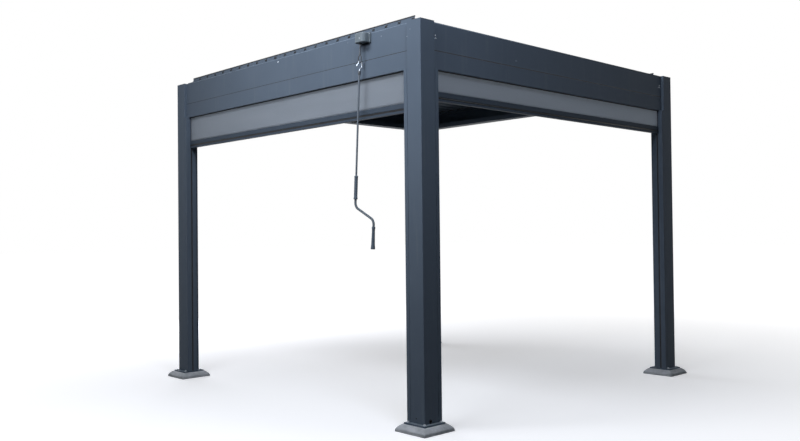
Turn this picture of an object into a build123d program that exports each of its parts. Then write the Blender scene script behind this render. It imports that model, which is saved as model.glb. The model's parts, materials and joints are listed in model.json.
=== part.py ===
"""Louvre-roof pergola: four posts, gutter beams, turning roof blades, two side screens and a hand crank.

Millimetres. The origin is on the ground at the middle of the footprint. X runs along the front beam,
+Y towards the back, +Z up. The front is at -Y.
"""
from build123d import *
from math import cos, hypot, radians, sin, sqrt, tan
import os

# Footprint and posts
length_x = 3000
depth_y = 3000
post_size = 122
post_wall = 3
post_height = 2455
post_corner_radius = 3

# The rainwater outlet in the foot of the front right post
outlet_radius = 10
outlet_height = 14
outlet_inset = 50

# Feet
plinth_size = 262
plinth_top_size = 208
plinth_height = 45
plinth_side_height = 20
plate_size = 180
plate_thickness = 10
bolt_hole_radius = 7
bolt_inset = 20

# Roof beams with a gutter trough. Their lower outer edges are broken, so that the joint below shows
beam_setback = 22
beam_height = 172
beam_wall = 4
beam_width = 100
beam_top_flange = 12
edge_break = 2
gutter_wall_height = 45
gutter_lip = 8

# Post caps
cap_thickness = 4
cap_spigot_depth = 20
cap_spigot_gap = 0.3

# The gap between pieces that rest on or run past each other
seat_gap = 0.3

# Rails that carry the blade pins, standing a little above the beams
rail_depth = 20
rail_height = 24
rail_rise = 10
rail_web_thickness = 4
rail_bore_end_wall = 2

# The bar that turns all blades together
drive_bar_gap = 5
drive_bar_thickness = 6
drive_bar_height = 12
drive_bar_end = 14

# Louvre blades
blade_pitch = 124
blade_field_margin = 10
blade_skin = 2.5
blade_bottom = 12
blade_top = 39
blade_left_foot = 54
blade_right_foot = 44
blade_side_slope = 0.3
blade_upstand_reach = 64.5
blade_hook_reach = 70
blade_channel_floor = 22.5
blade_upstand_height = 6
blade_hook_drop = 6
blade_cap_thickness = 4
blade_cap_rise = 13
blade_drain_width = 8
blade_drain_height = 4

# Blade pins, and the arms that hang from them. Both repeat often, so they have few sides
pin_sides = 8
arm_pin_sides = 6
pivot_below_beam_top = 2
pivot_radius = 5
pivot_end_gap = 4
pivot_ear_radius = 11
arm_reach = 28
arm_end_radius = 8
arm_pin_radius = 3
arm_pin_overrun = 1
pin_clearance = 0.3
hole_overrun = 1

# Roof flashings beside the outer blades
flashing_wall = 2.5
flashing_foot_gap = 0.3
flashing_end_gap = 0.5
flashing_clearance = 10
flashing_top_reach = 63
flashing_lip_width = 5
flashing_upstand_height = 3

# Side screens
screen_box_height = 116
screen_box_depth = 98
screen_box_wall = 2.5
screen_slot_lead = 6
screen_slot_width = 26
roller_radius = 30
roller_wall = 2
guide_width = 31
guide_depth = 66
guide_wall = 2.5
guide_slot_depth = 20
guide_slot_width = 14
fabric_inset = 24
fabric_thickness = 1.2
fabric_edge_inset = 8
bar_height = 58
bar_depth = 26
bar_groove_height = 14
bar_groove_depth = 8
bar_lip_height = 14
bar_end_gap = 3
front_bar_bottom = 550
right_bar_bottom = 482

# Gearbox on the front beam: a base with a bulging cover, and the lever inside the beam
gearbox_from_post = 409
gearbox_width = 98
gearbox_depth = 66
gearbox_base_depth = 16
gearbox_height = 67
gearbox_step = 4
gearbox_above_top = 5
gearbox_radius = 34
gearbox_top_radius = 7
lever_below_top = 40
lever_thickness = 6
lever_shaft_radius = 5
lever_shaft_depth = 12
lever_hub_radius = 9

# Crank. It hangs a little aslant because its handle is offset. Drops are measured from the centre of the
# eye's upper bend
crank_standoff = 40
crank_outlet_offset = 7
crank_lean = 3.5
eye_below_top = 157
eye_radius = 14.5
eye_stretch = 17
eye_wire = 3.5
shaft_radius = 4
shaft_depth = 12
hook_wire = 4
hook_width = 21
hook_bend_radius = 14
hook_tip_angle = 60
hook_tip_length = 36
ferrule_drop = 85
ferrule_length = 26
ferrule_radius = 8.5
ferrule_seat = 2
rod_radius = 6.5
sleeve_length = 140
sleeve_bend_gap = 55
sleeve_clearance = 0.4
handle_tube_radius = 8
handle_bend_drop = 970
handle_offset = 186
handle_step = 80
handle_bend_radius = 45
grip_gap = 35
grip_length = 145
grip_end_wall = 10
grip_collar_radius = 11.5
grip_collar_height = 14
grip_waist_radius = 9.8
grip_waist_fall = 4
grip_flare_drop = 116
grip_flare_radius = 12
grip_end_radius = 14.5
grip_end_height = 10
sleeve_collar_radius = 12.5
sleeve_foot_radius = 13.5
sleeve_collar_height = 10
sleeve_top_radius = 10.4
sleeve_low_radius = 11.4
sleeve_step_fall = 3
handle_sides = 12

post_bottom = plinth_height + plate_thickness
beam_top = post_bottom + post_height
beam_bottom = beam_top - beam_height
half_x = length_x / 2
half_y = depth_y / 2
post_x = half_x - post_size / 2
post_y = half_y - post_size / 2
front_face = half_y - beam_setback
side_face = half_x - beam_setback
clear_x = length_x - 2 * post_size
clear_y = depth_y - 2 * post_size
post_places = [(sx * post_x, sy * post_y) for sx in (-1, 1) for sy in (-1, 1)]

pivot_z = beam_top - pivot_below_beam_top
rail_inset = beam_top_flange
rail_inner_y = front_face - rail_inset - rail_depth
bar_y = rail_inner_y - drive_bar_gap - drive_bar_thickness / 2
blade_end_y = bar_y - drive_bar_thickness / 2 - drive_bar_gap
blade_count = int((clear_x - 2 * blade_field_margin) // blade_pitch)
blade_places = [(i - (blade_count - 1) / 2) * blade_pitch for i in range(blade_count)]

box_bottom = beam_bottom - screen_box_height
gearbox_x = half_x - post_size - gearbox_from_post
gearbox_bottom = beam_top + gearbox_above_top - gearbox_height
eye_z = beam_top - eye_below_top
sleeve_drop = handle_bend_drop - sleeve_bend_gap - sleeve_length
shaft_length = (gearbox_bottom - eye_z) / cos(radians(crank_lean)) + shaft_depth
eye_x = gearbox_x - crank_outlet_offset - (gearbox_bottom - eye_z) * tan(radians(crank_lean))


def box(size_x, size_y, size_z, x, y, z):
    """A block centred on x, y with its underside at z."""
    return Pos(x, y, z) * Box(size_x, size_y, size_z, align=(Align.CENTER, Align.CENTER, Align.MIN))


def prism(points, length):
    """A closed outline in (x, z), run along Y and centred on it."""
    outline = make_face(Polyline(*[(x, z) for x, z in points], close=True))
    return extrude(Plane.XZ * outline, length / 2, both=True)


def side_prism(points, length):
    """A closed outline in (distance in from the outer face, height), run along X on the front side."""
    outline = make_face(Polyline(*points, close=True))
    return extrude(Plane.YZ * outline, length / 2, both=True)


def pin(radius, x, z, y_from, y_to, sides=pin_sides):
    """A straight pin along Y, with few sides whose corners lie on its radius."""
    outline = Plane.XZ * RegularPolygon(radius, sides)
    return Pos(x, (y_from + y_to) / 2, z) * extrude(outline, abs(y_to - y_from) / 2, both=True)


def pin_hole(radius, x, z, y_from, y_to, sides=pin_sides):
    """The hole for a pin along Y, with its flat sides a clearance away from the pin's radius."""
    outline = Plane.XZ * RegularPolygon(radius + pin_clearance, sides, major_radius=False)
    half_length = abs(y_to - y_from) / 2 + hole_overrun
    return Pos(x, (y_from + y_to) / 2, z) * extrude(outline, half_length, both=True)


def bore_below(radius, length):
    """A round cutter that hangs down from its place."""
    return Pos(0, 0, -length / 2) * Cylinder(radius, length)


def handle(rings, bore_radius, bore_length):
    """A many-sided handle hanging down, from rings given as (height, radius), with a bore from its top."""
    outer = loft([Pos(0, 0, z) * RegularPolygon(radius, handle_sides) for z, radius in rings], ruled=True)
    return outer - bore_below(bore_radius, bore_length)


def place_on(side, shape):
    """Turns a piece made on the front side, with its outer face on y = 0, onto one of the four sides."""
    turns = {"front": 0, "right": 90, "back": 180, "left": 270}
    reach = {"front": front_face, "right": side_face, "back": front_face, "left": side_face}
    return Rot(0, 0, turns[side]) * Pos(0, -reach[side], 0) * shape


def clear_length(side):
    """The distance between the posts on one side."""
    return clear_x if side in ("front", "back") else clear_y


def make_post(x, y):
    """A square tube with rounded corners. The front right one has a rainwater outlet at its foot."""
    outer = RectangleRounded(post_size, post_size, post_corner_radius)
    inner = Rectangle(post_size - 2 * post_wall, post_size - 2 * post_wall)
    post = Pos(x, y, post_bottom) * extrude(outer - inner, post_height)
    if x > 0 and y < 0:
        outlet = Pos(x + post_size / 2, -half_y + outlet_inset, post_bottom + outlet_height)
        post -= outlet * Rot(0, 90, 0) * Cylinder(outlet_radius, 4 * post_wall)
    return post


def make_post_caps():
    """A flat plate on each post, with a short spigot inside the tube."""
    spigot = post_size - 2 * (post_wall + cap_spigot_gap)
    caps = []
    for x, y in post_places:
        cap = box(post_size, post_size, cap_thickness, x, y, beam_top)
        cap += box(spigot, spigot, cap_spigot_depth, x, y, beam_top - cap_spigot_depth)
        caps.append(cap)
    return Compound(children=caps)


def make_base_plates():
    """A square plate under each post, with a bolt hole near each corner."""
    plates = []
    reach = plate_size / 2 - bolt_inset
    hole = extrude(RegularPolygon(bolt_hole_radius, pin_sides, major_radius=False), 2 * plate_thickness)
    for x, y in post_places:
        plate = box(plate_size, plate_size, plate_thickness, x, y, plinth_height)
        for sx in (-1, 1):
            for sy in (-1, 1):
                plate -= Pos(x + sx * reach, y + sy * reach, plinth_height - plate_thickness / 2) * hole
        plates.append(plate)
    return Compound(children=plates)


def make_plinths():
    """A square concrete block under each plate, its upper half bevelled all round."""
    blocks = []
    for x, y in post_places:
        block = box(plinth_size, plinth_size, plinth_side_height, x, y, 0)
        low = Pos(x, y, plinth_side_height) * Rectangle(plinth_size, plinth_size)
        high = Pos(x, y, plinth_height) * Rectangle(plinth_top_size, plinth_top_size)
        blocks.append(block + loft([low.face(), high.face()]))
    return Compound(children=blocks)


def make_beam(side):
    """An extruded beam: outer wall, floor and a low inner wall with a lip, so that it is a gutter."""
    w = beam_wall
    outline = [
        (0, edge_break),
        (edge_break, 0),
        (beam_width, 0),
        (beam_width, gutter_wall_height),
        (beam_width - gutter_lip, gutter_wall_height),
        (beam_width - gutter_lip, gutter_wall_height - w),
        (beam_width - w, gutter_wall_height - w),
        (beam_width - w, w),
        (w, w),
        (w, beam_height - w),
        (beam_top_flange, beam_height - w),
        (beam_top_flange, beam_height),
        (0, beam_height),
    ]
    beam = Pos(0, 0, beam_bottom) * side_prism(outline, clear_length(side))
    beam = place_on(side, beam)
    if side == "front":
        lever_z = beam_top - lever_below_top
        beam -= pin_hole(lever_shaft_radius, gearbox_x, lever_z, -front_face, beam_wall - front_face)
    return beam


def make_pivot_rail(side):
    """A bar inside the beam's outer wall, with a blind bore for each blade's pin, on a web from the wall."""
    rail_bottom = beam_top + rail_rise - rail_height
    rail = box(clear_x, rail_depth, rail_height, 0, rail_inset + rail_depth / 2, rail_bottom)
    web_y = (rail_inset + beam_wall) / 2
    rail += box(clear_x, rail_inset - beam_wall, rail_web_thickness, 0, web_y, rail_bottom)
    bore_end = rail_inset + rail_bore_end_wall + hole_overrun
    for x in blade_places:
        rail -= pin_hole(pivot_radius, x, pivot_z, bore_end, rail_inset + rail_depth)
    return place_on(side, rail)


def ear_outline():
    """The plate round a blade's pin: wide where it meets the blade, half round below the pin."""
    r = pivot_ear_radius
    half_round = [(-r * cos(radians(a)), -r * sin(radians(a))) for a in range(0, 181, 45)]
    return [(-2 * r, blade_bottom)] + half_round + [(2 * r, blade_bottom)]


def arm_outline(pivot_half_width):
    """A tapered arm from a pivot down to the left, with a blunt end round its pin."""
    length = arm_reach * sqrt(2)
    end = arm_end_radius
    taper = [
        (0, -pivot_half_width),
        (length, -end),
        (length + end, -end / 2),
        (length + end, end / 2),
        (length, end),
        (0, pivot_half_width),
    ]
    return [((across - along) / sqrt(2), (-across - along) / sqrt(2)) for along, across in taper]


def slanted_side(x, z):
    """Where a blade's slanted side, which starts at x on its underside, has come to at height z."""
    return x + blade_side_slope * (z - blade_bottom)


def make_blade():
    """One hollow blade with a water channel on its left and a hooked lip on its right.

    The caps on its ends stand up as rims and keep the rain off the rails. Its pins turn in the rails,
    and the drive bar hangs on the arm at its front end.
    """
    t = blade_skin
    top, bottom = blade_top, blade_bottom
    left, right = -blade_left_foot, blade_right_foot
    floor = blade_channel_floor
    outline = [
        (left, bottom),
        (right, bottom),
        (slanted_side(right, top - t), top - t),
        (blade_hook_reach - t, top - t),
        (blade_hook_reach - t, top - t - blade_hook_drop),
        (blade_hook_reach, top - t - blade_hook_drop),
        (blade_hook_reach, top),
        (slanted_side(left, top), top),
        (slanted_side(left, floor + t), floor + t),
        (-blade_upstand_reach + t, floor + t),
        (-blade_upstand_reach + t, floor + t + blade_upstand_height),
        (-blade_upstand_reach, floor + t + blade_upstand_height),
        (-blade_upstand_reach, floor),
        (slanted_side(left, floor), floor),
    ]
    hollow = [
        (slanted_side(left + t, bottom + t), bottom + t),
        (slanted_side(right - t, bottom + t), bottom + t),
        (slanted_side(right - t, top - t), top - t),
        (slanted_side(left + t, top - t), top - t),
    ]
    rim = top + blade_cap_rise
    cap_outline = [
        (left, bottom),
        (right, bottom),
        (slanted_side(right, rim), rim),
        (slanted_side(left, rim), rim),
    ]
    cap = blade_cap_thickness
    cap_y = blade_end_y - cap / 2
    blade = prism(outline, 2 * (blade_end_y - cap))
    blade -= prism(hollow, 2 * (blade_end_y - cap))
    arm = Pos(0, -cap_y, 0) * prism(arm_outline(pivot_ear_radius), cap)
    drain = Box(blade_drain_width, 2 * cap, blade_drain_height)
    drain_z = bottom + t + blade_drain_height / 2
    pin_end = rail_inner_y + rail_depth - pivot_end_gap
    for end in (-1, 1):
        blade += Pos(0, end * cap_y, 0) * prism(cap_outline, cap)
        blade += Pos(0, end * cap_y, 0) * prism(ear_outline(), cap)
        blade += pin(pivot_radius, 0, 0, end * cap_y, end * pin_end)
        blade -= Pos(0, end * cap_y, drain_z) * drain
    blade += arm
    arm_pin_end = bar_y + drive_bar_thickness / 2 + arm_pin_overrun
    return blade + pin(arm_pin_radius, -arm_reach, -arm_reach, -cap_y, -arm_pin_end, arm_pin_sides)


def make_drive_bar():
    """The flat bar that hangs on every blade's arm, with a tab down to the lever's pin."""
    first, last = blade_places[0] - arm_reach, blade_places[-1] - arm_reach
    length = last - first + 2 * drive_bar_end
    z = pivot_z - arm_reach
    thick = drive_bar_thickness
    bar = box(length, thick, drive_bar_height, (first + last) / 2, -bar_y, z - drive_bar_height / 2)
    tab_x = gearbox_x - arm_reach
    tab_pin_z = beam_top - lever_below_top - arm_reach
    tab_bottom = tab_pin_z - arm_end_radius
    bar += box(2 * arm_end_radius, thick, z - tab_bottom, tab_x, -bar_y, tab_bottom)
    holes = [(x - arm_reach, z) for x in blade_places] + [(tab_x, tab_pin_z)]
    for x, hole_z in holes:
        bar -= pin_hole(arm_pin_radius, x, hole_z, -bar_y - thick / 2, -bar_y + thick / 2, arm_pin_sides)
    return bar


def make_drive_lever():
    """The lever on the gearbox's shaft, inside the beam, that swings the drive bar."""
    z = beam_top - lever_below_top
    face = -bar_y - drive_bar_thickness / 2 - drive_bar_gap
    middle = face - lever_thickness / 2
    lever = Pos(gearbox_x, middle, z) * prism(arm_outline(lever_hub_radius), lever_thickness)
    hub = extrude(Plane.XZ * RegularPolygon(lever_hub_radius, pin_sides), lever_thickness / 2, both=True)
    lever += Pos(gearbox_x, middle, z) * hub
    lever += pin(lever_shaft_radius, gearbox_x, z, -front_face - lever_shaft_depth, middle)
    pin_end = -bar_y + drive_bar_thickness / 2 + arm_pin_overrun
    return lever + pin(arm_pin_radius, gearbox_x - arm_reach, z - arm_reach, middle, pin_end, arm_pin_sides)


def make_left_flashing():
    """A folded sheet on the left beam that leans over towards the first blade and clears its swing."""
    t = flashing_wall
    sweep = hypot(blade_upstand_reach, blade_channel_floor + blade_skin + blade_upstand_height)
    x = blade_places[0]
    foot_x = x - sweep - flashing_clearance
    lip_x = x - flashing_top_reach - flashing_lip_width
    foot_z = beam_top + flashing_foot_gap
    top_z = pivot_z + blade_top
    outline = [
        (-side_face, foot_z),
        (foot_x, foot_z),
        (lip_x, top_z - t),
        (x - flashing_top_reach, top_z - t),
        (x - flashing_top_reach, top_z),
        (lip_x - t, top_z),
        (foot_x - t, foot_z + t),
        (-side_face, foot_z + t),
    ]
    return prism(outline, clear_y - 2 * flashing_end_gap)


def make_right_flashing():
    """A folded sheet on the right beam whose channel lies under the last blade's hook."""
    t = flashing_wall
    joint = blade_places[-1] + blade_pitch
    edge = joint - blade_upstand_reach
    floor = pivot_z + blade_channel_floor
    upstand_top = floor + t + flashing_upstand_height
    riser = joint + slanted_side(-blade_left_foot, blade_top + blade_cap_rise)
    foot_z = beam_top + flashing_foot_gap
    outline = [
        (side_face, foot_z),
        (riser - t, foot_z),
        (riser - t, floor),
        (edge, floor),
        (edge, upstand_top),
        (edge + t, upstand_top),
        (edge + t, floor + t),
        (riser, floor + t),
        (riser, foot_z + t),
        (side_face, foot_z + t),
    ]
    return prism(outline, clear_y - 2 * flashing_end_gap)


def make_screen_box(side):
    """The housing of a screen's roller, open along its underside where the fabric leaves it."""
    w = screen_box_wall
    d = screen_box_depth
    h = screen_box_height
    slot_start = fabric_inset - screen_slot_lead
    slot_end = slot_start + screen_slot_width
    outline = [
        (0, 0),
        (slot_start, 0),
        (slot_start, w),
        (w, w),
        (w, h - w),
        (d - w, h - w),
        (d - w, w),
        (slot_end, w),
        (slot_end, 0),
        (d, 0),
        (d, h),
        (edge_break, h),
        (0, h - edge_break),
    ]
    return place_on(side, Pos(0, 0, box_bottom) * side_prism(outline, clear_length(side)))


def make_guides(side):
    """Two side channels that hold the fabric's edges, each against a post."""
    length = box_bottom - post_bottom
    s = guide_slot_width / 2
    slot_y = fabric_inset + fabric_thickness / 2
    guides = []
    for end in (-1, 1):
        outer = Pos(guide_width / 2, guide_depth / 2) * Rectangle(guide_width, guide_depth)
        slot = Pos(guide_width - guide_slot_depth / 2, slot_y) * Rectangle(guide_slot_depth, 2 * s)
        chamber_y = (slot_y + s + guide_depth) / 2
        chamber_depth = guide_depth - 2 * guide_wall - (slot_y + s)
        chamber = Pos(guide_width / 2, chamber_y)
        chamber = chamber * Rectangle(guide_width - 2 * guide_wall, chamber_depth)
        profile = extrude(outer - slot - chamber, length)
        guide = Pos(-clear_length(side) / 2, 0, post_bottom) * profile
        if end == 1:
            guide = mirror(guide, Plane.YZ)
        guides.append(place_on(side, guide))
    return Compound(children=guides)


def bar_bottom_z(side):
    """The height of a bottom bar's underside."""
    drop = front_bar_bottom if side == "front" else right_bar_bottom
    return beam_top - drop


def make_fabric(side):
    """The lowered stretch of fabric, from the roller down into the bottom bar."""
    width = clear_length(side) - 2 * (guide_width - fabric_edge_inset)
    low = bar_bottom_z(side) + bar_height
    high = box_bottom + screen_box_height / 2
    sheet = box(width, fabric_thickness, high - low, 0, fabric_inset + fabric_thickness / 2, low)
    return place_on(side, sheet)


def make_roller(side):
    """The roller tube inside the housing, behind the fabric."""
    y = fabric_inset + fabric_thickness + roller_radius + seat_gap
    ring = Circle(roller_radius) - Circle(roller_radius - roller_wall)
    tube = extrude(Plane.YZ * ring, clear_length(side) / 2 - seat_gap, both=True)
    return place_on(side, Pos(0, y, box_bottom + screen_box_height / 2) * tube)


def make_bar(side):
    """A bottom bar with a shadow groove along its outer face."""
    width = clear_length(side) - 2 * (guide_width + bar_end_gap)
    near = fabric_inset + fabric_thickness / 2 - bar_depth / 2
    lip, groove = bar_lip_height, bar_lip_height + bar_groove_height
    outline = [
        (near, 0),
        (near + bar_depth, 0),
        (near + bar_depth, bar_height),
        (near, bar_height),
        (near, groove),
        (near + bar_groove_depth, groove),
        (near + bar_groove_depth, lip),
        (near, lip),
    ]
    return place_on(side, Pos(0, 0, bar_bottom_z(side)) * side_prism(outline, width))


def crank_place(drop):
    """A place on the crank's leaning axis, so far down from the centre of the eye's upper bend."""
    lean = radians(crank_lean)
    x = eye_x - drop * sin(lean)
    z = eye_z - drop * cos(lean)
    return Pos(x, -front_face - crank_standoff, z) * Rot(0, crank_lean, 0)


def make_gearbox():
    """The drive's housing on the front beam, bored below for the eye's shaft and behind for the lever's."""
    base = box(gearbox_width, gearbox_base_depth, gearbox_height, 0, -gearbox_base_depth / 2, 0)
    cover_width = gearbox_width - 2 * gearbox_step
    cover = box(cover_width, gearbox_depth, gearbox_height - gearbox_step, 0, -gearbox_depth / 2, 0)
    cover = fillet(cover.edges().filter_by(Axis.Z).sort_by(Axis.Y)[:2], gearbox_radius)
    top = cover.faces().sort_by(Axis.Z)[-1].edges().sort_by(Axis.Y)[:-1]
    cover = fillet(top, gearbox_top_radius)
    body = Pos(gearbox_x, -front_face, gearbox_bottom) * (base + cover)
    bore = bore_below(shaft_radius + pin_clearance, 2 * shaft_depth)
    body -= crank_place(-shaft_length - pin_clearance) * bore
    lever_z = beam_top - lever_below_top
    bore_end = -front_face - lever_shaft_depth
    return body - pin_hole(lever_shaft_radius, gearbox_x, lever_z, bore_end, -front_face)


def make_gear_eye():
    """The gearbox's output shaft, with the oblong ring that the crank's hook hangs in."""
    shaft = Pos(0, 0, (eye_radius + shaft_length) / 2) * Cylinder(shaft_radius, shaft_length - eye_radius)
    section = RegularPolygon(eye_wire, pin_sides)
    lower_bend = revolve(Pos(eye_radius, 0) * section, Axis.Y, 180)
    eye = shaft + Rot(0, 180, 0) * lower_bend + Pos(0, 0, -eye_stretch) * lower_bend
    for side in (-1, 1):
        eye += Pos(side * eye_radius, 0, -eye_stretch) * extrude(section, eye_stretch)
    return crank_place(0) * eye


def make_crank_hook():
    """An open hook that hangs in the eye, and the ferrule that joins it to the rod."""
    seat = eye_wire + hook_wire + seat_gap
    top = seat - eye_radius - eye_stretch
    tip_angle = radians(hook_tip_angle)
    corner_y = -seat * tan(tip_angle / 2)
    tip_y = corner_y - hook_tip_length * cos(tip_angle)
    tip_z = top - hook_tip_length * sin(tip_angle)
    neck_z = hook_bend_radius / 2 - ferrule_drop
    start_z = -ferrule_drop - ferrule_seat
    path = FilletPolyline(
        (0, 0, start_z),
        (0, 0, neck_z),
        (0, hook_width, neck_z + hook_width),
        (0, hook_width, top),
        (0, corner_y, top),
        (0, tip_y, tip_z),
        radius=[hook_bend_radius / 2, hook_bend_radius, hook_bend_radius, seat],
    )
    section = Pos(0, 0, start_z) * RegularPolygon(hook_wire, pin_sides)
    hook = sweep(section, path)
    ferrule = Pos(0, 0, -ferrule_drop - ferrule_length / 2) * Cylinder(ferrule_radius, ferrule_length)
    return crank_place(0) * (hook + ferrule)


def make_crank_rod():
    """The straight rod, and below it the thicker handle tube that is bent to one side and down again."""
    top = -ferrule_drop - ferrule_length
    joint = -sleeve_drop - sleeve_length / 2
    rod = Pos(0, 0, (top + joint) / 2) * Cylinder(rod_radius, top - joint)
    low_corner = -handle_bend_drop - handle_step
    path = FilletPolyline(
        (0, 0, joint),
        (0, 0, -handle_bend_drop),
        (handle_offset, 0, low_corner),
        (handle_offset, 0, low_corner - grip_gap - grip_length + grip_end_wall),
        radius=handle_bend_radius,
    )
    section = Pos(0, 0, joint) * RegularPolygon(handle_tube_radius, handle_sides)
    tube = sweep(section, path)
    return crank_place(0) * (rod + tube)


def make_crank_grip():
    """The lower grip: a collar, a slim waist and a flared end that closes it."""
    rings = [
        (0, grip_collar_radius),
        (-grip_collar_height, grip_collar_radius),
        (-grip_collar_height - grip_waist_fall, grip_waist_radius),
        (-grip_flare_drop, grip_flare_radius),
        (grip_end_height - grip_length, grip_end_radius),
        (-grip_length, grip_end_radius),
    ]
    top = -handle_bend_drop - handle_step - grip_gap
    grip = handle(rings, handle_tube_radius, grip_length - grip_end_wall)
    return crank_place(0) * Pos(handle_offset, 0, top) * grip


def make_sleeve():
    """The loose upper grip, which the rod turns in: collars at its ends, and wider towards its foot."""
    rings = [
        (0, sleeve_collar_radius),
        (-sleeve_collar_height, sleeve_collar_radius),
        (-sleeve_collar_height - sleeve_step_fall, sleeve_top_radius),
        (sleeve_collar_height + sleeve_step_fall - sleeve_length, sleeve_low_radius),
        (sleeve_collar_height - sleeve_length, sleeve_foot_radius),
        (-sleeve_length, sleeve_foot_radius),
    ]
    bore_radius = handle_tube_radius + sleeve_clearance
    return crank_place(sleeve_drop) * handle(rings, bore_radius, sleeve_length + hole_overrun)


parts = {}
post_names = ["post_front_left", "post_back_left", "post_front_right", "post_back_right"]
for name, (x, y) in zip(post_names, post_places):
    parts[name] = make_post(x, y)
parts["post_caps"] = make_post_caps()
parts["base_plates"] = make_base_plates()
parts["concrete_plinths"] = make_plinths()
for side in ("front", "back", "left", "right"):
    parts["beam_" + side] = make_beam(side)
for side in ("front", "back"):
    parts["pivot_rail_" + side] = make_pivot_rail(side)
parts["roof_flashing_left"] = make_left_flashing()
parts["roof_flashing_right"] = make_right_flashing()
blade = make_blade()
for number, x in enumerate(blade_places, start=1):
    parts[f"louvre_{number:02d}"] = Pos(x, 0, pivot_z) * blade
parts["drive_bar"] = make_drive_bar()
parts["drive_lever"] = make_drive_lever()
for side in ("front", "right"):
    parts["screen_box_" + side] = make_screen_box(side)
    parts["screen_roller_" + side] = make_roller(side)
    parts["screen_guides_" + side] = make_guides(side)
    parts["screen_fabric_" + side] = make_fabric(side)
    parts["screen_bar_" + side] = make_bar(side)
parts["gearbox"] = make_gearbox()
parts["gear_eye"] = make_gear_eye()
parts["crank_hook"] = make_crank_hook()
parts["crank_rod"] = make_crank_rod()
parts["crank_grip"] = make_crank_grip()
parts["crank_sleeve"] = make_sleeve()

os.makedirs("parts", exist_ok=True)
for name, shape in parts.items():
    shape.label = name
    export_step(shape, f"parts/{name}.step")
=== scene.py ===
"""Looks of the louvre-roof pergola: coatings, screen cloth, crank, fixings and the stage, in metres."""
import json
import math

import bmesh
import bpy
from mathutils import Matrix, Quaternion, Vector, noise


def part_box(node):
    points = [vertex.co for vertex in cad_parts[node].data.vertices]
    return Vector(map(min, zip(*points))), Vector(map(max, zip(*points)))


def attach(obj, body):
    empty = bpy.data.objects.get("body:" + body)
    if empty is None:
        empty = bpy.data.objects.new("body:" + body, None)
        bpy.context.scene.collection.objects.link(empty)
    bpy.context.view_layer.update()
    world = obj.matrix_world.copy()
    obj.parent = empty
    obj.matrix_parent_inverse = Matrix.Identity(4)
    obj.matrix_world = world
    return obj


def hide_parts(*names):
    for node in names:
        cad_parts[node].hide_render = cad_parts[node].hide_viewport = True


bl_info = {
    "name": "Louvre pergola looks",
    "version": (1, 0, 0),
    "blender": (4, 5, 0),
    "location": "View3D > Sidebar > Pergola",
    "description": "Dresses the pergola's frame with its finishes, cloth, crank and fixings",
    "category": "Object",
}

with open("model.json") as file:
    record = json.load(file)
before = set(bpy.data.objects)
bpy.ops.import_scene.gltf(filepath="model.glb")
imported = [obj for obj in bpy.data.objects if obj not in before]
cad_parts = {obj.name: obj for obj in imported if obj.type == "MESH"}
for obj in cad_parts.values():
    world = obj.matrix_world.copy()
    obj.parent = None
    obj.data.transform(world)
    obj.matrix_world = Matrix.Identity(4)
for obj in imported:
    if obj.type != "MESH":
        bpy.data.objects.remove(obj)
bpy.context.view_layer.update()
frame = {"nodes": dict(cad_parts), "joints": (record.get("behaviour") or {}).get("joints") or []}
MM = 0.001
CRANK = next(joint for joint in frame["joints"] if joint["name"] == "crank_turn")
BLADE_NODES = sorted(name for name in frame["nodes"] if name.startswith("louvre_"))
SIDES = ("front", "right")  # the two sides with a screen

# Which solids keep their mesh and take which finish, by how their names start
NODE_FINISHES = {
    "frame_powder_coat": (
        "post_", "beam_", "base_plates", "pivot_rail_", "roof_flashing_", "screen_box_", "screen_guides_",
    ),
    "blade_powder_coat": ("louvre_",),
    "bar_powder_coat": ("screen_bar_",),
    "mill_aluminium": ("drive_bar", "screen_roller_"),
    "zinc_plated_steel": ("drive_lever",),
}

# The blades, in millimetres. A rim leans: its feet are given at 12 above the pivot
BLADE_PITCH, PIVOT_Z = 124, 2508
RIM_LEFT, RIM_RIGHT, RIM_TOP, RIM_SLOPE, RIM_FOOT = -54, 44, 52, 0.3, 12

# The crank, in millimetres from the eye's centre, and its lean in degrees
EYE_RADIUS, EYE_STRAIGHT, EYE_WIRE = 14.5, 17, 3.5
ROD_TOP, ROD_JOINT, ROD_BEND, ROD_FOOT = -110, -842, -970, -1220
ROD_RADIUS, BENT_RADIUS = 6.5, 8
HANDLE_OFFSET, HANDLE_STEP, BEND_RADIUS = 186, 80, 45
SLEEVE_TOP, GRIP_TOP = -767, -1091
CRANK_LEAN = 3.5

# The plinths, in millimetres: (height, half width, wear) from the underside to the top
PLINTH_LEVELS = (
    (0, 131, 0.3), (6, 131, 1), (13, 131, 1), (17, 130.6, 1.6), (20, 130, 2.2), (22.5, 127.6, 1.6), (28, 121.6, 1),
    (34, 115, 1), (40, 108.6, 1.2), (43.4, 104.6, 2), (45, 101.8, 1.4), (45, 92, 0),
)

ANCHOR_REACH = 70  # from a post's middle to its bolts, in millimetres
GUIDE_WIDTH = 31  # from a screen guide's outer edge to its slot, in millimetres

# The lamps: name, place, target, (width, height), watts, colour and the beam's angle in degrees
LAMPS = (
    ("front_sky", (1.0, -3.6, 4.3), (1.0, -1.5, 2.2), (2.4, 0.9), 102, "F2F6FF", 180),
    ("front_fill", (0.7, -6.0, 3.3), (0.4, -1.5, 2.2), (2.4, 1.0), 9.5, "F2F6FF", 50),
    ("right_sky", (3.2, -2.5, 4.3), (1.5, -1.3, 2.2), (1.0, 1.0), 52, "E2ECFF", 180),
    ("left_sky", (-6.0, 0.6, 2.2), (0, 0, 2.0), (4.0, 1.4), 200, "F2F5FF", 180),
    ("top_sky", (0.0, 0.0, 7.0), (0, 0, 0), (5.0, 5.0), 110, "F4F7FF", 180),
)
WORLD_LIGHT = 0.055  # strength for diffuse rays

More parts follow.
